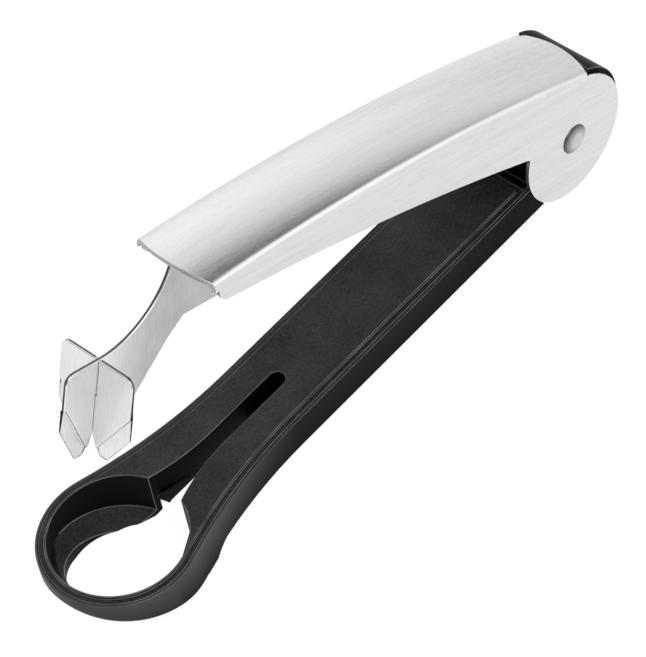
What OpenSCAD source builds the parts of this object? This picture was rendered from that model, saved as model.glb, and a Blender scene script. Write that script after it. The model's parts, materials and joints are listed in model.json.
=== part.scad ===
// Hand lever pitter for plums: a moulded lower arm with a cup and a slotted tray,
// a sheet handle hinged over its rear end, and a cross cutter on a stem plate.
// Lengths in millimetres, X from cup to hinge, Z up, shown with the handle open.

/* [Cup and arm] */
// distance from the hinge axis to the middle of the cup
cup_reach = 172; // [168:0.1:178]
// outer radius of the cup at its rim
cup_r = 22; // [21:0.1:24]
// half width of the arm
arm_hw = 13.4; // [12:0.1:16]
// height of the arm wall from its underside to the rim
arm_h = 10.4; // [9.8:0.1:12]
// drop of the rim below the hinge axis
rim_drop = 3.3; // [2.5:0.1:5]
// radius of the waist between arm and cup
waist_r = 162; // [120:1:220]
// wall of the arm shell
wall = 2; // [1.6:0.1:2.6]
// radius of the stone hole in the cup
hole_r = 14.5; // [13.6:0.1:15.5]

/* [Tray] */
// width of the lip that runs round the tray
lip_w = 1.7; // [1:0.1:3]
// rise of the tray floor above the lip
floor_rise = 0.8; // [0.3:0.1:1]
// width of the seam between tray and shell
seam = 0.15; // [0.1:0.05:0.3]
// width of the slot that lets the stem plate through
slot_w = 4.9; // [4.4:0.1:6]
// distance from the hinge axis to the closed end of the slot
slot_end = 107.3; // [100:0.1:108]

/* [Handle] */
// half width over the side walls
handle_hw = 13.6; // [13.2:0.1:14.2]
// thickness of the sheet
sheet_t = 1.2; // [0.8:0.1:1.5]
// length from the hinge axis to the front edge
handle_len = 152; // [148:0.1:156]
// height of the arched top above the hinge axis
handle_top = 26.5; // [26:0.1:28]
// radius of the lengthwise arch
arch_r = 673; // [600:1:900]
// radius of the crown across the top
crown_r = 45; // [35:1:80]
// outer radius of the long bends
bend_r = 3; // [2.2:0.1:4]
// height of the side wall's lower edge above the axis line at the front
wall_front = 13.8; // [13:0.1:15]
// height of the side wall's lower edge above the axis line at the rear
wall_rear = 2.2; // [1.5:0.1:3.5]
// radius of the round ears at the hinge
ear_r = 19.6; // [19:0.1:20.6]
// angle of the open handle above the arm
open_angle = 20.2; // [15:0.1:24]

/* [Cutter] */
// thickness of the stem plate and of the cross blade
blade_t = 1.2; // [0.8:0.1:1.6]
// reach of the wings of the stem plate from the cutter axis
wing_r = 11.6; // [9:0.1:12]
// reach of the wings of the cross blade from the cutter axis
cross_r = 12.3; // [9:0.1:12.6]
// height of the wing top above the axis line
wing_top = 2.6; // [1:0.1:4]
// height of the cutter from wing top to fang tip
cutter_h = 29.2; // [25:0.1:32]
// width of the ground bevel along the cutting edges
bevel_w = 2.2; // [1:0.1:3]

/* [Hinge] */
// diameter of the hinge rivet
pin_d = 5; // [4:0.1:6]
// diameter of the rivet heads
head_d = 9; // [8:0.1:11]
// outer diameter of the pivot sleeve
sleeve_d = 8; // [7:0.1:9]
// wire of the return spring
wire_d = 1.6; // [1.2:0.1:1.8]
// number of full turns of the return spring
turns = 4; // [3:1:4]

/* [Hidden] */
steel = [0.74, 0.74, 0.75];
black = [0.07, 0.07, 0.08];
tray_black = [0.11, 0.11, 0.12];

z_rim = -rim_drop;
z_under = z_rim - arm_h;
z_rest = -ear_r;
ball_x = 4.1;
ball_z = 2;
ball_r = cup_r + 5.6;
belly_x = 24;
belly_r = 12;
heel_x = 11;
z_heel = z_rest + 3.2;
flare_x = 39;
flare_l = 33;
flare_r = 66;
edge_w = 0.7;
ledge = 1.8;
block_hw = handle_hw - sheet_t - 0.3;
block_in = ear_r - 1.4;
ecc = 1.2;
block_r = ear_r + 0.4;
block_rear = ecc * cos(45) + block_r;
tray_end = ear_r + 0.9;
pivot_x = (cup_reach + cup_r - block_rear) / 2;
pivot_z = ear_r;

waist_y = arm_hw + waist_r;
waist_dx = sqrt(pow(waist_r + cup_r, 2) - pow(waist_y, 2));
waist_x = waist_dx - cup_reach;
tan_x = waist_dx / (waist_r + cup_r);
tan_y = waist_y / (waist_r + cup_r);

arch_u = -75;
front_r = 26;
rear_r = 37;
rear_u = 4.3;
hat_x = sqrt(pow(crown_r - bend_r, 2) - pow(handle_hw - bend_r, 2)) - crown_r;
bend_to = asin((handle_hw - bend_r) / (crown_r - bend_r));
low_r = 887;
low_a = [10 - handle_len, wall_front];
low_b = [-24, wall_rear];
low_m = (low_a + low_b) / 2;
low_d = (low_b - low_a) / norm(low_b - low_a);
low_s = sqrt(pow(low_r, 2) - pow(norm(low_b - low_a) / 2, 2));
low_c = low_m + low_s * [low_d[1], -low_d[0]];
wall_end = 5.3 - handle_len;
corner_r = 4;

axis_u = -cup_reach - 2;
stem_arc = 24;
fang_w = wing_top - cutter_h;
notch_w = fang_w + 7.8;
side_w = wing_top - 17.6;
cross_side = wing_top - 19;
stem_low = 1.85;
stem_rear = -slot_end - 3.7;
stem_knee = 30;
stem_cut = 5;
fang_in = 2.7;
fang_out = 5.4;
root_in = sheet_t + 0.05;

coil_r = sleeve_d / 2 + wire_d + 0.2;
pocket_r = coil_r + wire_d + 1.8;
pocket_hw = 6.5;
sweep = 360 * turns + 90;
coil_from = -70;
coil_w = 2 * pocket_hw - 2 * wire_d - 0.4;
leg_up = 22.6;
leg_down = 12;

// puts the hinge axis at its place over the resting plane
module at_hinge() {
  translate([pivot_x, 0, pivot_z]) children();
}

// the handle's own frame, turned up to its open position
module on_handle() {
  at_hinge() rotate([0, open_angle, 0]) children();
}

// a plate standing in the middle plane
module slab(t) {
  rotate([90, 0, 0]) linear_extrude(t, center = true) children();
}

// outline of arm and cup seen from above, set in by d
module plan(d) {
  translate([-cup_reach, 0]) circle(cup_r - d, $fn = 96);
  translate([-cup_reach, d - arm_hw]) square([cup_reach, 2 * (arm_hw - d)]);
  waist(d);
}

// the widening between arm and cup
module waist(d) {
  from = tan_x * (cup_r - d) - cup_reach;
  half = tan_y * (cup_r - d);
  difference() {
    translate([from, -half]) square([waist_x - from, 2 * half]);
    for (s = [-1, 1]) translate([waist_x, s * waist_y]) circle(waist_r + d, $fn = 180);
  }
}

// space under the arm, bending down to the heel behind the cup
module under_arm() {
  slab(80) intersection() {
    union() {
      translate([belly_x - cup_reach, z_under - belly_r * cos(12)]) circle(belly_r, $fn = 96);
      translate([belly_x - cup_reach, z_rest - 1]) square([cup_reach, 40]);
      translate([heel_x - cup_reach, z_rest - 1]) square([cup_reach, z_heel - z_rest + 1]);
    }
    translate([heel_x - cup_reach, z_rest - 1]) square([cup_reach + 40, z_under - z_rest + 1]);
  }
}

// space round the ball shaped underside of the cup
module under_cup() {
  difference() {
    translate([-cup_reach - 40, -40, z_rest - 1]) cube([40 + heel_x, 80, z_rim - z_rest - 1]);
    translate([ball_x - cup_reach, 0, ball_z]) sphere(ball_r, $fn = 128);
  }
}

// round cup, its wall set in by d, ending below on a ball set in by e
module cup_round(d, e, low) {
  intersection() {
    translate([-cup_reach, 0, low]) cylinder(r = cup_r - d, h = z_rim - low, $fn = 128);
    translate([ball_x - cup_reach, 0, ball_z]) sphere(ball_r - e, $fn = 128);
  }
}

// solid rear end between the ears, flush with the sheet behind its rear edge
module hinge_block() {
  rotate([90, 0, 0]) cylinder(r = block_in, h = 2 * block_hw + 1.2, center = true, $fn = 96);
  difference() {
    translate([ecc * cos(45), 0, ecc * sin(45)]) rotate([90, 0, 0])
      cylinder(r = block_r, h = 2 * block_hw + 1.2, center = true, $fn = 96);
    translate([-60, -20, z_under - 20]) cube([60, 40, 80]);
    rotate([0, open_angle, 0]) translate([rear_u - rear_r, 0, 0])
      cylinder(r = rear_r + 0.35, h = 40, $fn = 128);
  }
}

// room for the return spring, its fixed leg and the swing of its free leg
module spring_room() {
  slab(2 * pocket_hw) {
    circle(pocket_r, $fn = 64);
    polygon([[4, 2], [4, 40], [-24, 40], [-24, 14], [-4, 2]]);
    rotate(20) translate([-leg_down - 3, -coil_r - wire_d]) square([leg_down + 3, 2 * wire_d]);
  }
}

module base_shell() {
  color(black) at_hinge() difference() {
    union() {
      difference() {
        translate([0, 0, z_rest]) linear_extrude(z_rim - z_rest) plan(0);
        under_arm();
        under_cup();
      }
      hinge_block();
    }
    translate([0, 0, z_rim - ledge]) linear_extrude(20) intersection() {
      plan(edge_w);
      translate([-300, -60]) square([300 - tray_end, 120]);
    }
    translate([0, 0, z_under + wall]) linear_extrude(arm_h) intersection() {
      plan(wall);
      translate([-cup_reach + 12, -60]) square([cup_reach - 12 - tray_end - 4, 120]);
    }
    cup_round(1.4, 1.6, z_rest - 1);
    translate([axis_u, 0, z_rest - 1]) cylinder(r = hole_r + 0.3, h = 16, $fn = 96);
    translate([0, 0, z_rest - 1]) linear_extrude(z_under + wall - z_rest + 1.5) under_slot();
    for (s = [-1, 1]) translate([0, s * (block_hw + 5), 0]) slab(10) {
      circle(ear_r + 0.3, $fn = 128);
      translate([0, -40]) square([60, 80]);
    }
    rotate([90, 0, 0]) cylinder(d = sleeve_d + 0.1, h = 60, center = true, $fn = 64);
    spring_room();
  }
}

// outline of the stem plate's slot, opening out toward the cup in two curves, grown by d
module slot_plan(d) {
  translate([-slot_end - slot_w / 2, 0]) circle(slot_w / 2 + d, $fn = 48);
  translate([-cup_reach, -slot_w / 2 - d]) square([cup_reach - slot_end - slot_w / 2, slot_w + 2 * d]);
  translate([flare_x - cup_reach, 0]) difference() {
    translate([-flare_l, -cup_r / 2]) square([flare_l, cup_r]);
    for (s = [-1, 1]) translate([0, s * (flare_r + slot_w / 2 + d)]) circle(flare_r, $fn = 180);
  }
}

// narrow opening in the arm's underside for the stem plate
module under_slot() {
  translate([-slot_end - 14, 0]) circle(slot_w / 2 + 0.4, $fn = 48);
  translate([-cup_reach, -slot_w / 2 - 0.4]) square([cup_reach - slot_end - 14, slot_w + 0.8]);
}

module tray_liner() {
  color(tray_black) at_hinge() difference() {
    union() {
      translate([0, 0, z_rim - ledge]) linear_extrude(ledge) intersection() {
        plan(edge_w + seam);
        translate([-300, -60]) square([300 - tray_end - seam, 120]);
      }
      translate([0, 0, z_rim - ledge]) linear_extrude(ledge + floor_rise) intersection() {
        plan(edge_w + seam + lip_w);
        translate([-300, -60]) square([300 - tray_end - seam - lip_w, 120]);
      }
      translate([0, 0, z_under + wall + 0.2]) linear_extrude(arm_h - wall - 0.5) intersection() {
        slot_plan(1.4);
        translate([-cup_reach + 15.5, -60]) square([cup_reach, 120]);
      }
      cup_round(1.6, 1.8, z_rest + 0.3);
    }
    intersection() {
      translate([-cup_reach, 0, z_rest]) cylinder(r = cup_r - 3.1, h = 40, $fn = 128);
      translate([ball_x - cup_reach, 0, ball_z]) sphere(ball_r - 3.4, $fn = 128);
    }
    translate([axis_u, 0, z_rest - 1]) cylinder(r = hole_r, h = 40, $fn = 96);
    translate([0, 0, -40]) linear_extrude(45) slot_plan(0);
  }
}

// section of the handle across its length, set in by d: crowned top, two bends, straight legs
module hat(d) {
  r = max(0.3, bend_r - d);
  mid = handle_hw - bend_r;
  turn = [for (k = [0 : 5]) let (a = 90 - k * (90 - bend_to) / 5) [hat_x + r * cos(a), mid + r * sin(a)]];
  half = concat([[-60, mid + r]], [for (k = [0 : 4]) turn[k]], [1.6 * turn[5] - 0.6 * turn[4], [6, 0]]);
  intersection() {
    translate([-crown_r, 0]) circle(crown_r - d, $fn = 180);
    polygon(concat(half, [for (k = [6 : -1 : 0]) [half[k][0], -half[k][1]]]));
  }
}

// sweeps a section along the lengthwise arch of the handle
module arch() {
  translate([arch_u, 0, handle_top - arch_r]) rotate([90, 0, 0]) rotate([0, 0, 76])
    rotate_extrude(angle = 28, $fn = 720) translate([arch_r, 0]) children();
}

// what the bowed front edge of a sheet takes off, set back by d
module front_trim(d) {
  difference() {
    translate([-handle_len - 10, -40, -5]) cube([20, 80, 50]);
    translate([front_r + d - handle_len, 0, -6]) cylinder(r = front_r, h = 52, $fn = 180);
  }
}

// what the bowed rear edge of the top takes off above the ears
module rear_trim() {
  difference() {
    translate([-6, -40, ear_r - 0.15]) cube([26, 80, 20]);
    translate([rear_u - rear_r, 0, 0]) cylinder(r = rear_r, h = 60, $fn = 180);
  }
  translate([rear_u - 2, sheet_t - handle_hw, 0]) cube([2 * ear_r, 2 * (handle_hw - sheet_t), ear_r - 0.05]);
}

// side view of the walls with their ears
module wall_side() {
  difference() {
    translate([-handle_len - 5, 0]) square([handle_len + 13, 40]);
    translate(low_c) circle(low_r, $fn = 720);
    translate([-handle_len - 5, 0]) square([10.3 + corner_r, wall_front + corner_r]);
  }
  translate([wall_end + corner_r, wall_front + corner_r]) circle(corner_r, $fn = 48);
  circle(ear_r, $fn = 128);
}

module handle_shell() {
  color(steel) on_handle() difference() {
    intersection() {
      arch() difference() {
        hat(0);
        hat(sheet_t);
      }
      slab(4 * handle_hw) wall_side();
    }
    front_trim(0);
    rear_trim();
    rotate([90, 0, 0]) cylinder(d = pin_d + 0.04, h = 60, center = true, $fn = 64);
  }
}

// one wing seen flat: rounded shoulder, straight side, slanting cutting edge, fang, stone notch
module wing(reach, side) {
  polygon([[0, notch_w], [0, wing_top], [reach - 2.7, wing_top], [reach, wing_top - 2.7],
    [reach, side], [fang_out, fang_w], [fang_in, fang_w]]);
  translate([reach - 2.7, wing_top - 2.7]) circle(2.7, $fn = 48);
}

// wedge ground off the +y face of a plate of thickness t along its slanting cutting edge
module bevel_cut(reach, side, t) {
  run = [fang_out - reach, fang_w - side];
  translate([reach, 0, side]) rotate([0, -atan2(run[1], run[0]), 0]) rotate([90, 0, 90])
    translate([0, 0, -6]) linear_extrude(norm(run) + 12)
      polygon([[t / 2 + 0.1, -4], [t / 2 + 0.1, bevel_w + 0.1], [0.2 - t / 2, 0], [0.2 - t / 2, -4]]);
}

// flat outline of the stem behind the cutter axis
module stem_outline() {
  difference() {
    polygon([[axis_u, notch_w], [axis_u, 40], [stem_rear, 40], [stem_rear, stem_low + stem_cut],
      [stem_rear - stem_cut, stem_low], [axis_u + stem_knee, stem_low],
      [axis_u + stem_knee - 1.1 * stem_cut, stem_low - stem_cut], [axis_u + fang_out, fang_w],
      [axis_u + fang_in, fang_w]]);
    translate([axis_u, wing_top + stem_arc]) circle(stem_arc, $fn = 128);
  }
}

module stem_plate() {
  color(steel) on_handle() {
    difference() {
      union() {
        intersection() {
          slab(blade_t) stem_outline();
          arch() hat(root_in);
        }
        translate([axis_u, 0, 0]) mirror([1, 0, 0]) slab(blade_t) wing(wing_r, side_w);
        difference() {
          intersection() {
            arch() difference() {
              hat(root_in);
              hat(root_in + blade_t);
            }
            translate([stem_rear - 45, -9, 10]) cube([45, 9 + blade_t / 4, 30]);
          }
          front_trim(1.4);
        }
      }
      translate([axis_u, 0, 0]) mirror([1, 0, 0]) mirror([0, 1, 0]) bevel_cut(wing_r, side_w, blade_t);
      translate([axis_u, 0, (wing_top + notch_w) / 2]) translate([-blade_t / 2 - 0.05, -5, -40])
        cube([blade_t + 0.1, 10, 40]);
    }
  }
}

module cross_blade() {
  color(steel) on_handle() translate([axis_u, 0, 0]) rotate([0, 0, 90]) difference() {
    union() {
      slab(blade_t) wing(cross_r, cross_side);
      mirror([1, 0, 0]) slab(blade_t) wing(cross_r, cross_side);
    }
    bevel_cut(cross_r, cross_side, blade_t);
    mirror([1, 0, 0]) bevel_cut(cross_r, cross_side, blade_t);
    translate([-blade_t / 2 - 0.05, -5, (wing_top + notch_w) / 2 - 0.1]) cube([blade_t + 0.1, 10, 40]);
  }
}

module pivot_sleeve() {
  color(steel) on_handle() rotate([90, 0, 0]) difference() {
    cylinder(d = sleeve_d, h = 2 * (handle_hw - sheet_t) - 0.1, center = true, $fn = 64);
    cylinder(d = pin_d + 0.04, h = 60, center = true, $fn = 64);
  }
}

module hinge_rivet() {
  color(steel) on_handle() rotate([90, 0, 0]) {
    cylinder(d = pin_d, h = 2 * handle_hw, center = true, $fn = 64);
    for (s = [0, 1]) mirror([0, 0, s]) translate([0, 0, handle_hw + 0.02]) rotate_extrude($fn = 64) {
      translate([0, -0.3]) square([pin_d / 2, 0.4]);
      intersection() {
        square([head_d / 2, 1.4]);
        translate([0, 1.4 - 14]) circle(14, $fn = 180);
      }
    }
  }
}

function coil_at(a) = [coil_r * cos(a), coil_w * ((a - coil_from) / sweep - 0.5), coil_r * sin(a)];
function wire_ring(p, a) = [for (k = [0 : 5]) let (c = wire_d / 2 * cos(60 * k), s = wire_d / 2 * sin(60 * k))
  p + [c * cos(a), s, c * sin(a)]];
coil_n = turns * 8 + 2;
coil_angles = [for (i = [0 : coil_n]) coil_from + sweep * i / coil_n];
last_a = coil_from + sweep;
wire_mid = concat(
  [coil_at(coil_from) + leg_down * [sin(coil_from), 0, -cos(coil_from)]],
  [for (a = coil_angles) coil_at(a)],
  [coil_at(last_a) + leg_up * [-sin(last_a), 0, cos(last_a)]]);
wire_turn = concat([coil_from], coil_angles, [last_a]);
wire_n = len(wire_mid);
wire_gap = min([for (i = [1 : coil_n - 4]) for (j = [i + 5 : coil_n]) norm(wire_mid[i] - wire_mid[j])]) - wire_d;
echo(least_gap_between_turns = wire_gap);

module torsion_spring() {
  color(steel) at_hinge() polyhedron(
    points = [for (i = [0 : wire_n - 1]) each wire_ring(wire_mid[i], wire_turn[i])],
    faces = concat(
      [[for (k = [0 : 5]) k]],
      [for (i = [0 : wire_n - 2]) for (k = [0 : 5])
        [6 * i + k, 6 * i + 6 + k, 6 * i + 6 + (k + 1) % 6, 6 * i + (k + 1) % 6]],
      [[for (k = [5 : -1 : 0]) 6 * (wire_n - 1) + k]]));
}

base_shell();
tray_liner();
handle_shell();
stem_plate();
cross_blade();
pivot_sleeve();
hinge_rivet();
torsion_spring();
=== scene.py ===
import json
import math

import bmesh
import bpy
import numpy as np
from mathutils import Matrix, Vector

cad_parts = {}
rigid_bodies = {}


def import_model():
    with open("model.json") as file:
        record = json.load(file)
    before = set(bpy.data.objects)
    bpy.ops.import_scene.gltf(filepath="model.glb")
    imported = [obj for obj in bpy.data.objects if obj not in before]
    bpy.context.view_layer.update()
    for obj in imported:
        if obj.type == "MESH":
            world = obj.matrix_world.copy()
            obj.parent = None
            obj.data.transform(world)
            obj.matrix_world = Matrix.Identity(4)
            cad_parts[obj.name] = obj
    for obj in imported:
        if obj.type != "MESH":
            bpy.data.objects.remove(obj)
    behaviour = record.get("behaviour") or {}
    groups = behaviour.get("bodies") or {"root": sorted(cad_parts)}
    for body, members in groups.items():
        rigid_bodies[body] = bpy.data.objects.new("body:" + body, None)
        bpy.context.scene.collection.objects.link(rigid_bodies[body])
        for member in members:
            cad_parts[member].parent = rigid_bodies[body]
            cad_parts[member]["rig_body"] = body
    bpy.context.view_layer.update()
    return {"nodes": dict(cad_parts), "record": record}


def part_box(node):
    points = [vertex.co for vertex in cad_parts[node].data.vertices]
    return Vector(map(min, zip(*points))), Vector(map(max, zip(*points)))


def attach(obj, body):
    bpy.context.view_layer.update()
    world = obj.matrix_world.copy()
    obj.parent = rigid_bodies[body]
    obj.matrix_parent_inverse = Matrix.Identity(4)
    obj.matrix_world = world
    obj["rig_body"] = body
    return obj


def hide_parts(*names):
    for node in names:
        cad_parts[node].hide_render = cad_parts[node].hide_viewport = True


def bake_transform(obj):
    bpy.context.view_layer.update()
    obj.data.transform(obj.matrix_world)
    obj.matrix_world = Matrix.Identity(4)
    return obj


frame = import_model()


# The lower arm: one moulded piece of satin black plastic, from the round cup to the
# solid block at the hinge. Its outer wall has a trace of fine grain and is painted paler
# toward the rim and the cup as a painted sheen; the edges in its upper part are broken by a
# small round in a paler black that is a painted highlight.
class Wire:
    """One socket of a node tree; sums, differences and products on it become Math nodes."""

    def __init__(self, tree, socket):
        self.tree, self.socket = tree, socket

    def make(self, kind, settings, feeds, out=0):
        """Adds a node of that kind, sets its settings, then its sockets' values or links."""
        node = self.tree.nodes.new(kind)
        for key, value in settings.items():
            setattr(node, key, value)
        for key, value in feeds.items():
            if isinstance(value, Wire):
                self.tree.links.new(value.socket, node.inputs[key])
            else:
                node.inputs[key].default_value = value
        return Wire(self.tree, node.outputs[out])

    def math(self, operation, a, b):
        """Two values, each a wire or a number, put together by a Math node."""
        return self.make("ShaderNodeMath", {"operation": operation}, {0: a, 1: b})

    def __add__(self, other):
        return self.math("ADD", self, other)

    def __sub__(self, other):
        return self.math("SUBTRACT", self, other)

    def __mul__(self, other):
        return self.math("MULTIPLY", self, other)

    def __rsub__(self, other):
        return self.math("SUBTRACT", other, self)

    __radd__, __rmul__ = __add__, __mul__

    def noise(self, scale, detail, rough=0.5):
        """Soft noise over this vector, about 0 to 1, with that many cells to a metre."""
        return self.make("ShaderNodeTexNoise", {},
                         {"Vector": self, "Scale": scale, "Detail": detail, "Roughness": rough})

    def span(self, low, high, to_low=0.0, to_high=1.0):
        """This value carried from one range to another, held at the ends."""
        return self.make("ShaderNodeMapRange", {"clamp": True},
                         {"Value": self, "From Min": low, "From Max": high,
                          "To Min": to_low, "To Max": to_high})

    def vector(self, operation, other, out=0):
        """This vector and another put together by a Vector Math node; a single number is its output 1."""
        return self.make("ShaderNodeVectorMath", {"operation": operation}, {0: self, 1: other}, out)

    def axis(self, number):
        """One coordinate of this vector: 0, 1 or 2 for X, Y or Z."""
        return self.make("ShaderNodeSeparateXYZ", {}, {"Vector": self}, out=number)

    def tint(self, dark, pale):
        """A colour between two, by this value."""
        return self.make("ShaderNodeMix", {"data_type": "RGBA"},
                         {"Factor": self, 6: (*dark, 1.0), 7: (*pale, 1.0)}, out=2)

    def relief(self, height, distance, strength):
        """The surface's normal, raised by a height of 0 to 1 times that distance in metres."""
        return self.make("ShaderNodeBump", {},
                         {"Strength": strength, "Distance": distance, "Height": height})


def finish(name):
    """A new material, its surface shader and the object's own coordinates."""
    made = bpy.data.materials.new(name)
    made.use_nodes = True
    skin = made.node_tree.nodes["Principled BSDF"]
    place = made.node_tree.nodes.new("ShaderNodeTexCoord")
    return made, skin, Wire(made.node_tree, place.outputs["Object"])


def paint(skin, **feeds):
    """Sets the shader's sockets by name, with _ for a space: a number stays, a wire is linked."""
    for key, value in feeds.items():
        socket = skin.inputs[key.replace("_", " ")]
        if isinstance(value, Wire):
            value.tree.links.new(value.socket, socket)
        else:
            socket.default_value = value


def joined(node, name, cuts=(), blends=None, blend=0.0):
    """A copy of the solid's surface as one skin: corners that meet are merged and flat neighbours become
    one face. It is cut across at the planes given as (point, normal), and the edges that blends picks
    are hollowed to a round of that width."""
    touching, flat = 2e-7, 0.004
    form = bmesh.new()
    form.from_mesh(frame["nodes"][node].data)
    bmesh.ops.remove_doubles(form, verts=form.verts, dist=touching)
    bmesh.ops.dissolve_limit(form, angle_limit=flat, verts=form.verts, edges=form.edges)
    if blends:
        picked = [edge for edge in form.edges if blends(edge)]
        bmesh.ops.bevel(form, geom=picked, offset=blend, segments=5, profile=0.5, affect="EDGES")
    for point, normal in cuts:
        whole = form.verts[:] + form.edges[:] + form.faces[:]
        bmesh.ops.bisect_plane(form, geom=whole, plane_co=point, plane_no=normal)
    mesh = bpy.data.meshes.new(name)
    form.to_mesh(mesh)
    form.free()
    if "custom_normal" in mesh.attributes:
        mesh.attributes.remove(mesh.attributes["custom_normal"])
    mesh.materials.clear()
    return mesh


def dressed(mesh, node, finishes, arris, above=0.0):
    """Puts the skin in the node's place. Each edge sharper than the crease, and above that height, is
    broken by a round of the arris width, in the second finish. Marked faces have the third finish and
    the others the first."""
    crease = 0.62
    for each in finishes:
        mesh.materials.append(each)
    mesh.shade_smooth()
    mesh.set_sharp_from_angle(angle=crease)
    sharp, ends = np.empty(len(mesh.edges), bool), np.empty(2 * len(mesh.edges), np.int32)
    corners = np.empty(3 * len(mesh.vertices))
    mesh.attributes["sharp_edge"].data.foreach_get("value", sharp)
    mesh.edges.foreach_get("vertices", ends)
    mesh.vertices.foreach_get("co", corners)
    middles = corners.reshape(-1, 3)[ends.reshape(-1, 2), 2].mean(1)
    weight = mesh.attributes.new("bevel_weight_edge", "FLOAT", "EDGE")
    weight.data.foreach_set("value", (sharp & (middles > above)).astype(np.float32))
    piece = bpy.data.objects.new(mesh.name, mesh)
    bpy.context.scene.collection.objects.link(piece)
    broken = piece.modifiers.new("arris", "BEVEL")
    broken.width, broken.segments = arris, 2
    broken.limit_method = "WEIGHT"
    broken.harden_normals = True
    broken.use_clamp_overlap = False
    broken.material = min(1, len(finishes) - 1)
    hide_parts(node)
    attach(piece, frame["nodes"][node]["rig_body"])


satin_black, skin, place = finish("satin_black")
grain = place.noise(2600.0, 3.0, 0.6)
cloud = place.noise(45.0, 2.0)
run, height = place.axis(0), place.axis(2)
# Painted sheen: the base colour is painted paler toward the rim and toward the cup, and kept dark at the
# hinge block.
toward_rim, toward_cup = height.span(0.004, 0.021), run.span(-0.064, -0.030, 1.0, 0.16)
painted_sheen = toward_rim * toward_cup * run.span(0.02, 0.07, 1.0, 0.0)
paint(skin,
      Base_Color=(painted_sheen * (0.7 + 0.6 * cloud)).tint((0.002, 0.002, 0.0022), (0.11, 0.11, 0.112)),
      Roughness=0.28 + 0.07 * cloud.span(0.3, 0.7) + 0.05 * grain,
      Normal=place.relief(grain, 0.00002, 0.35),
      Specular_IOR_Level=0.02)
# The arm's arris finish: a paler black that is a painted highlight along the broken edges.
painted_rim_highlight, skin, place = finish("painted_rim_highlight")
rub = place.noise(90.0, 2.0)
paint(skin,
      Base_Color=rub.span(0.35, 0.7).tint((0.035, 0.035, 0.036), (0.075, 0.075, 0.076)),
      Roughness=0.22 + 0.10 * rub,
      Specular_IOR_Level=0.5)
dressed(joined("base_shell", "arm_shell"), "base_shell", (satin_black, painted_rim_highlight),
        arris=0.00024, above=0.014)


# The tray: a thin lid of matte black plastic that lies in a rebate of the arm's rim.
# Its floor has a fine spark-eroded grain that breaks the light into soft grey patches.
# The slot opens out into the bowl; below the floor the steep walls are smooth and painted near black as
# painted shade, and the tray's broken edges are paler as a painted highlight.
matte_black, skin, place = finish("matte_black")
grain = place.noise(1500.0, 3.0, 0.75)
patch = place.noise(60.0, 3.0, 0.55)
speckle = 0.65 * grain + 0.35 * patch
paint(skin,
      Base_Color=speckle.span(0.38, 0.62).tint((0.002, 0.002, 0.0022), (0.032, 0.0325, 0.034)),
      Roughness=0.46 + 0.16 * grain - 0.10 * patch.span(0.35, 0.68),
      Normal=place.relief(grain, 0.0003, 1.0),
      Specular_IOR_Level=0.34)
# Painted shade: the steep walls below the floor get a near-black colour and little specular.
painted_shade_wall, skin, place = finish("painted_shade_wall")
haze = place.noise(200.0, 2.0)
paint(skin,
      Base_Color=haze.tint((0.0012, 0.0012, 0.0013), (0.004, 0.004, 0.0042)),
      Roughness=0.45 + 0.10 * haze,
      Specular_IOR_Level=0.05)
# The tray's arris finish: a paler black that is a painted highlight along the slot and lip edges.
painted_edge_highlight, skin, place = finish("painted_edge_highlight")
rub = place.noise(120.0, 2.0)
paint(skin,
      Base_Color=rub.span(0.3, 0.7).tint((0.06, 0.06, 0.061), (0.16, 0.16, 0.162)),
      Roughness=0.24 + 0.10 * rub,
      Specular_IOR_Level=0.6)


def faces(mesh):
    """The normal and the middle of each face of a skin, one row a face."""
    normals, middles = np.empty(3 * len(mesh.polygons)), np.empty(3 * len(mesh.polygons))
    mesh.polygons.foreach_get("normal", normals)
    mesh.polygons.foreach_get("center", middles)
    return normals.reshape(-1, 3), middles.reshape(-1, 3)


def mark(mesh, picked):
    """Gives the picked faces the third finish and the others the first."""
    mesh.polygons.foreach_set("material_index", np.where(picked, 2, 0).astype(np.int32))


tray_skin = joined("tray_liner", "tray")
areas = np.empty(len(tray_skin.polygons))
tray_skin.polygons.foreach_get("area", areas)
normals, middles = faces(tray_skin)
facing_up, level = normals[:, 2], middles[:, 2]
# The largest face that looks up is the tray's floor.
flat, steep, below_floor = 0.9, 0.5, 0.0003
floor_level = level[np.argmax(areas * (facing_up > flat))]
# Steep faces below the floor take the painted shade finish.
mark(tray_skin, (facing_up < steep) & (level < floor_level - below_floor))
dressed(tray_skin, "tray_liner", (matte_black, painted_edge_highlight, painted_shade_wall), arris=0.0002)


# The pivot sleeve: a short length of turned steel tube that is clamped between the ears
# and turns with them in the arm's hinge block. Faint rings are left by the tool.
turned_steel, skin, place = finish("turned_steel")
ring = place.vector("MULTIPLY", (0.02, 1.0, 0.02)).noise(2600.0, 2.0)
paint(skin,
      Base_Color=ring.span(0.3, 0.7).tint((0.50, 0.50, 0.51), (0.68, 0.68, 0.68)),
      Metallic=1.0,
      Roughness=0.20 + 0.12 * ring)
dressed(joined("pivot_sleeve", "pivot_sleeve_turned"), "pivot_sleeve", (turned_steel,),
        arris=0.0001)


# The return spring: a few turns of drawn steel wire round the sleeve, one leg in the
# arm and one under the handle. The wire is a shade darker than the sleeve and a little uneven.
drawn_wire, skin, place = finish("drawn_wire")
uneven = place.noise(1800.0, 2.0)
paint(skin,
      Base_Color=uneven.tint((0.38, 0.38, 0.39), (0.60, 0.60, 0.60)),
      Metallic=1.0,
      Roughness=0.26 + 0.12 * uneven)


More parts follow.
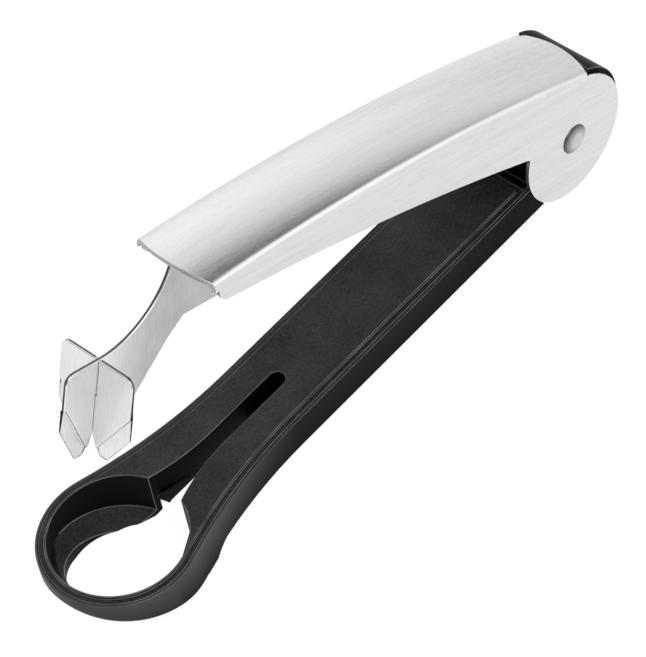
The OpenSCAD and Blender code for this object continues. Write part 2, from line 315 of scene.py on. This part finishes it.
def wound(name, hub, wire, coil, width, sweep, start, legs, material):
    """A tube along a coil with two straight legs. The line is hub + (coil cos a, y, coil sin a), with a
    from start over sweep and y from one side to the other; each leg leaves along the tangent."""
    steps, sides = 241, 15
    a = np.radians(start + sweep * np.linspace(0.0, 1.0, steps))
    y = width * np.linspace(-0.5, 0.5, steps)
    line = np.stack([coil * np.cos(a), y, coil * np.sin(a)], 1)
    ends = [line[[0]] + legs[0] * np.array([[np.sin(a[0]), 0.0, -np.cos(a[0])]]),
            line[[-1]] + legs[1] * np.array([[-np.sin(a[-1]), 0.0, np.cos(a[-1])]])]
    line = np.concatenate([ends[0], line, ends[1]]) + np.array(hub)
    out = np.concatenate([a[:1], a, a[-1:]])
    out = np.stack([np.cos(out), np.zeros_like(out), np.sin(out)], 1)
    t = np.radians(np.arange(sides) * 360.0 / sides)[:, None]
    ring = out[:, None, :] * np.cos(t) + np.array([0.0, 1.0, 0.0]) * np.sin(t)
    points = (line[:, None, :] + wire / 2 * ring).reshape(-1, 3)
    n, m = len(line), sides
    i, k = np.meshgrid(np.arange(n - 1), np.arange(m), indexing="ij")
    after = (k + 1) % m
    quads = np.stack([i * m + k, (i + 1) * m + k, (i + 1) * m + after, i * m + after], -1).reshape(-1, 4)
    caps = [list(range(m)), list(range(n * m - 1, (n - 1) * m - 1, -1))]
    mesh = bpy.data.meshes.new(name)
    mesh.from_pydata(points.tolist(), [], quads.tolist() + caps)
    mesh.shade_smooth()
    mesh.set_sharp_from_angle(angle=0.8)
    mesh.materials.append(material)
    piece = bpy.data.objects.new(name, mesh)
    bpy.context.scene.collection.objects.link(piece)
    return piece


hub = frame["record"]["behaviour"]["joints"][0]["pos_m"]
coil = wound("return_spring", hub, wire=0.0016, coil=0.0058, width=0.0094, sweep=1530.0, start=-70.0,
             legs=(0.012, 0.0226), material=drawn_wire)
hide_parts("torsion_spring")
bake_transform(coil)


# The handle: one blank of stainless sheet bent to a channel with an arched, crowned top,
# long tapering side walls and two round ears for the rivet. It is brushed lengthwise,
# and its cut edges are painted darker as painted shade.
lean = math.radians(20.2)
lengthwise = np.array((math.cos(lean), 0.0, -math.sin(lean)))
upward = np.array((math.sin(lean), 0.0, math.cos(lean)))


def along_handle(place):
    """The object's coordinates turned with the handle: X lengthwise and Z upward from the hinge."""
    return place.make("ShaderNodeMapping", {"vector_type": "TEXTURE"},
                      {"Vector": place, "Location": hub, "Rotation": (0.0, lean, 0.0)})


brushed, skin, place = finish("brushed_sheet")
stretch = along_handle(place).vector("MULTIPLY", (0.022, 1.0, 1.0))
fine = stretch.noise(4200.0, 3.0, 0.65)
broad = stretch.noise(700.0, 3.0, 0.6)
streak = fine * 0.6 + broad * 0.4
paint(skin,
      Base_Color=streak.span(0.32, 0.68).tint((0.66, 0.655, 0.66), (0.82, 0.815, 0.82)),
      Metallic=1.0,
      Roughness=0.18 + 0.14 * streak.span(0.3, 0.7),
      Normal=place.relief(streak, 0.00003, 0.35))
bright_arris, skin, place = finish("bright_arris")
rub = place.noise(500.0, 3.0, 0.6)
paint(skin,
      Base_Color=rub.tint((0.74, 0.74, 0.74), (0.92, 0.92, 0.92)),
      Metallic=1.0,
      Roughness=0.20 + 0.12 * rub)

# Cut edge finishes painted darker as painted shade: a mid grey on the handle, nearly black on the cutter
# plates.
painted_shade_edges = []
for name, dark, pale in (("painted_shade_trim", 0.36, 0.58), ("painted_shade_cut", 0.04, 0.17)):
    made, skin, place = finish(name)
    tear = place.noise(1500.0, 3.0, 0.65)
    paint(skin,
          Base_Color=tear.span(0.3, 0.7).tint((dark, dark, dark), (pale, pale, pale)),
          Metallic=1.0,
          Roughness=0.38 + 0.15 * tear)
    painted_shade_edges.append(made)
painted_shade_trim, painted_shade_cut = painted_shade_edges

ear_r, sheet = hub[2], 0.0012
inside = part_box("handle_shell")[1][1] - 1.1 * sheet


def notch(edge):
    """True for the two short edges across the sheet where a wall's lower edge runs into its ear."""
    low, high = (np.array(end.co) for end in edge.verts)
    middle = (low + high) / 2 - np.array(hub)
    across_sheet = abs(high[1] - low[1]) > 0.9 * sheet
    on_circle = abs(math.hypot(middle[0], middle[2]) - ear_r) < 0.0001
    in_front = middle @ lengthwise < -0.5 * ear_r
    return across_sheet and on_circle and in_front and edge.calc_face_angle_signed(0.0) < -0.5


top_end, flat_end, drawn_together = 0.0023, 0.0076, 6e-5
stations = np.linspace(top_end + 0.0001, flat_end, 9)
across = [(tuple(np.array(hub) + u * lengthwise), tuple(lengthwise)) for u in stations]
sheet_skin = joined("handle_shell", "handle_sheet", across, notch, blend=0.0013)
points = np.empty(3 * len(sheet_skin.vertices))
sheet_skin.vertices.foreach_get("co", points)
points = points.reshape(-1, 3) - np.array(hub)
# Behind the pivot an ear's upper edge is drawn in to the ear's circle: at u along the handle its
# height becomes the square root of ear_r squared less u squared.
u, height = points @ lengthwise, points @ upward
circle = np.sqrt(np.maximum(ear_r ** 2 - u ** 2, 0.0))
proud = (np.abs(points[:, 1]) > inside) & (u > top_end) & (height > circle)
points += np.where(proud, circle - height, 0.0)[:, None] * upward
sheet_skin.vertices.foreach_set("co", (points + np.array(hub)).ravel())
form = bmesh.new()
form.from_mesh(sheet_skin)
bmesh.ops.remove_doubles(form, verts=form.verts, dist=drawn_together)
bmesh.ops.dissolve_degenerate(form, edges=form.edges, dist=1e-5)
form.to_mesh(sheet_skin)
form.free()
normals, middles = faces(sheet_skin)
ear_rim = (np.abs(normals[:, 1]) < 0.3) & (np.abs(middles[:, 1]) > inside)
# The front edge and the ears' rims take the painted shade edge finish.
mark(sheet_skin, (normals @ lengthwise < -0.8) | ear_rim)
dressed(sheet_skin, "handle_shell", (brushed, bright_arris, painted_shade_trim), arris=0.0001)


# The rivet: a soft steel pin through ears and sleeve, set under a press so that each end is
# a low dome with a short upright rim. The crown is pale steel, and toward the rim the head is
# painted dark as painted shade.
def turned(name, hub, outline, material):
    """A closed form turned about the hinge line. The outline is a list of (distance along y, radius);
    point (i, k) is hub + (r_i cos a_k, y_i, r_i sin a_k), with a point on the line at each end."""
    steps = 96
    y, r = np.array(outline).T
    a = np.radians(np.arange(steps) * 360.0 / steps)
    rings = np.stack([r[:, None] * np.cos(a), np.repeat(y[:, None], steps, 1), r[:, None] * np.sin(a)], -1)
    tips = [[0.0, y[0], 0.0], [0.0, y[-1], 0.0]]
    points = np.concatenate([rings[1:-1].reshape(-1, 3), tips]) + np.array(hub)
    n = len(y) - 2
    i, k = np.meshgrid(np.arange(n - 1), np.arange(steps), indexing="ij")
    after = (k + 1) % steps
    this, following = i * steps, (i + 1) * steps
    quads = np.stack([this + k, this + after, following + after, following + k], -1).reshape(-1, 4)
    k = np.arange(steps)
    after = (k + 1) % steps
    first = np.stack([np.full(steps, n * steps), after, k], -1)
    last = np.stack([np.full(steps, n * steps + 1), (n - 1) * steps + k, (n - 1) * steps + after], -1)
    mesh = bpy.data.meshes.new(name)
    mesh.from_pydata(points.tolist(), [], quads.tolist() + first.tolist() + last.tolist())
    mesh.shade_smooth()
    mesh.set_sharp_from_angle(angle=0.7)
    mesh.materials.append(material)
    piece = bpy.data.objects.new(name, mesh)
    bpy.context.scene.collection.objects.link(piece)
    return piece


low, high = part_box("hinge_rivet")
head_r, shank_r = (high[0] - low[0]) / 2, 0.0025
ear_face, rim_h, fullness = 0.01362, 0.0002, 2.4
polished, skin, place = finish("polished_steel")
scuff = place.noise(700.0, 2.0, 0.5)
from_hub = place.vector("SUBTRACT", hub).vector("MULTIPLY", (1.0, 0.0, 1.0))
reach = from_hub.vector("DISTANCE", (0.0, 0.0, 0.0), out=1)
# Painted shade: the head is painted dark toward its rim, with random scuffs on top.
rim_shade_and_scuff = reach.span(0.45 * head_r, head_r) + 0.15 * scuff
paint(skin,
      Base_Color=rim_shade_and_scuff.tint((0.62, 0.62, 0.62), (0.12, 0.12, 0.122)),
      Metallic=1.0,
      Roughness=0.18 + 0.10 * scuff)
share = np.linspace(0.0, 1.0, 18)
crown = [(-high[1] + (high[1] - ear_face - rim_h) * t ** fullness, head_r * t) for t in share]
half = crown + [(-ear_face, head_r), (-ear_face, shank_r)]
rivet = turned("hinge_rivet_set", hub, half + [(-y, r) for y, r in reversed(half)], polished)
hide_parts("hinge_rivet")
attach(rivet, "handle")


# The cutter: a stem plate bent to a flange at its root and welded under the handle's top,
# and a second plate let into it at a right angle. Both are stamped from stainless
# plate, brushed down their length, with the slanting edges bevelled by grinding.
# The stem is painted darker than the wings and the cut edges nearly black, both as painted shade.
plate_steel, skin, place = finish("plate_steel")
along = along_handle(place)
fine = along.vector("MULTIPLY", (1.0, 1.0, 0.05)).noise(3400.0, 3.0, 0.6)
stain = along.noise(85.0, 3.0, 0.55)
streak = (0.6 * fine + 0.4 * stain).span(0.32, 0.66)
# Painted shade: the stem is painted darker than the wings.
wing_share = along.axis(0).span(-0.173, -0.157, 1.0, 0.0)
wings = streak.tint((0.76, 0.76, 0.76), (0.90, 0.90, 0.90))
painted_shade_stem = streak.tint((0.42, 0.42, 0.425), (0.60, 0.60, 0.60))
tone = wing_share.make("ShaderNodeMix", {"data_type": "RGBA"}, {"Factor": wing_share, 6: painted_shade_stem, 7: wings}, out=2)
paint(skin,
      Base_Color=tone,
      Metallic=1.0,
      Roughness=0.22 + 0.14 * fine + 0.06 * stain,
      Normal=place.relief(fine, 0.00002, 0.3))

for node, name, facing in (("stem_plate", "stem_and_wings", np.array((0.0, 1.0, 0.0))),
                           ("cross_blade", "cross_wings", lengthwise)):
    plate = joined(node, name)
    normals, middles = faces(plate)
    # The cut edge faces take the nearly black painted shade finish.
    mark(plate, np.abs(normals @ facing) < 0.35)
    dressed(plate, node, (plate_steel, bright_arris, painted_shade_cut), arris=0.0003)


# The setting: a plain pale floor that reads white to the eye and in the metal but keeps
# the shadow, a soft studio all round with dark and bright panels, and one broad lamp.
# The floor is clear from below.
floor_mesh = bpy.data.meshes.new("floor")
wide = 6.0
corners = [(-wide, -wide, 0.0), (wide, -wide, 0.0), (wide, wide, 0.0), (-wide, wide, 0.0)]
floor_mesh.from_pydata(corners, [], [(0, 1, 2, 3)])
floor = bpy.data.objects.new("floor", floor_mesh)
bpy.context.scene.collection.objects.link(floor)
pale, skin, place = finish("pale_floor")
paint(skin, Base_Color=(0.9, 0.9, 0.9, 1.0), Roughness=0.9, Specular_IOR_Level=0.1)
floor_mesh.materials.append(pale)
path = pale.node_tree.nodes.new("ShaderNodeLightPath")
seen = 0.86 * Wire(pale.node_tree, path.outputs["Is Camera Ray"])
seen = seen + 0.7 * Wire(pale.node_tree, path.outputs["Is Glossy Ray"])
seen = seen + 0.7 * Wire(pale.node_tree, path.outputs["Is Transmission Ray"])
white = seen.make("ShaderNodeEmission", {}, {"Color": (1.0, 1.0, 1.0, 1.0), "Strength": 1.1})
mixed = seen.make("ShaderNodeMixShader", {}, {0: seen, 1: Wire(pale.node_tree, skin.outputs[0]), 2: white})
under = Wire(pale.node_tree, pale.node_tree.nodes.new("ShaderNodeNewGeometry").outputs["Backfacing"])
clear = under.make("ShaderNodeBsdfTransparent", {}, {"Color": (1.0, 1.0, 1.0, 1.0)})
mixed = under.make("ShaderNodeMixShader", {}, {0: under, 1: mixed, 2: clear})
pale.node_tree.links.new(mixed.socket, pale.node_tree.nodes["Material Output"].inputs["Surface"])

studio = bpy.data.worlds.new("studio")
bpy.context.scene.world = studio
studio.use_nodes = True
sky = studio.node_tree.nodes["Background"]
sky.inputs["Color"].default_value = (1.0, 1.0, 1.0, 1.0)
aim = studio.node_tree.nodes.new("ShaderNodeTexCoord")
aim = Wire(studio.node_tree, aim.outputs["Generated"])
height = aim.axis(2)
shade = height.span(0.0, 0.32, 0.74, 0.97) + height.span(0.55, 0.9, 0.0, -0.27)
for heading, rim, heart, lift in (((0.72, -0.10, 0.687), 0.87, 0.975, -0.72),
                                  ((-0.93, 0.12, 0.345), 0.55, 0.92, -0.60),
                                  ((-0.55, -0.81, 0.20), 0.80, 0.97, -0.60),
                                  ((0.68, 0.54, 0.495), 0.86, 0.98, 0.02),
                                  ((0.62, 0.74, 0.25), 0.93, 0.985, 0.25),
                                  ((0.75, -0.62, 0.23), 0.90, 0.98, 0.45)):
    panel = aim.vector("DOT_PRODUCT", heading, out=1)
    shade = shade + panel.span(rim, heart, 0.0, lift)
path = studio.node_tree.nodes.new("ShaderNodeLightPath")
seen = Wire(studio.node_tree, path.outputs["Is Camera Ray"])
shade = shade * (1.0 - seen) + seen
studio.node_tree.links.new(shade.socket, sky.inputs["Strength"])

lamp = bpy.data.lights.new("lamp_near", "AREA")
lamp.shape, lamp.size, lamp.energy = "DISK", 1.0, 5.0
light = bpy.data.objects.new("lamp_near", lamp)
bpy.context.scene.collection.objects.link(light)
light.location = (-0.3, -0.6, 1.1)
light.rotation_mode = "QUATERNION"
light.rotation_quaternion = (-light.location).to_track_quat("-Z", "Y")

turn, tilt, roll = math.radians(-39.6), math.radians(51.3), math.radians(-11.6)
back = Vector((math.sin(turn) * math.cos(tilt), -math.cos(turn) * math.cos(tilt), math.sin(tilt)))
level = Vector((math.cos(turn), math.sin(turn), 0.0))
upright = back.cross(level)
right = math.cos(roll) * level + math.sin(roll) * upright
top = math.cos(roll) * upright - math.sin(roll) * level
# The hinge lies 213 pixels right of the picture's middle and 211 above it; the longer side has 657.
far, focal, longer_side = 0.9722, 3500.0, 657.0
offset = Vector((213.0 / focal * far, 211.0 / focal * far, -far))
eye = bpy.data.cameras.new("photo_camera")
eye.sensor_width = 36.0
eye.lens = focal / longer_side * eye.sensor_width
eye.clip_start, eye.clip_end = 0.05, 50.0
camera = bpy.data.objects.new("photo_camera", eye)
bpy.context.scene.collection.objects.link(camera)
stand = Vector(hub) - (right * offset.x + top * offset.y + back * offset.z)
camera.matrix_world = Matrix((
    (right.x, top.x, back.x, stand.x),
    (right.y, top.y, back.y, stand.y),
    (right.z, top.z, back.z, stand.z),
    (0.0, 0.0, 0.0, 1.0)))
bpy.context.scene.camera = camera
bpy.context.scene.view_settings.view_transform = "Standard"
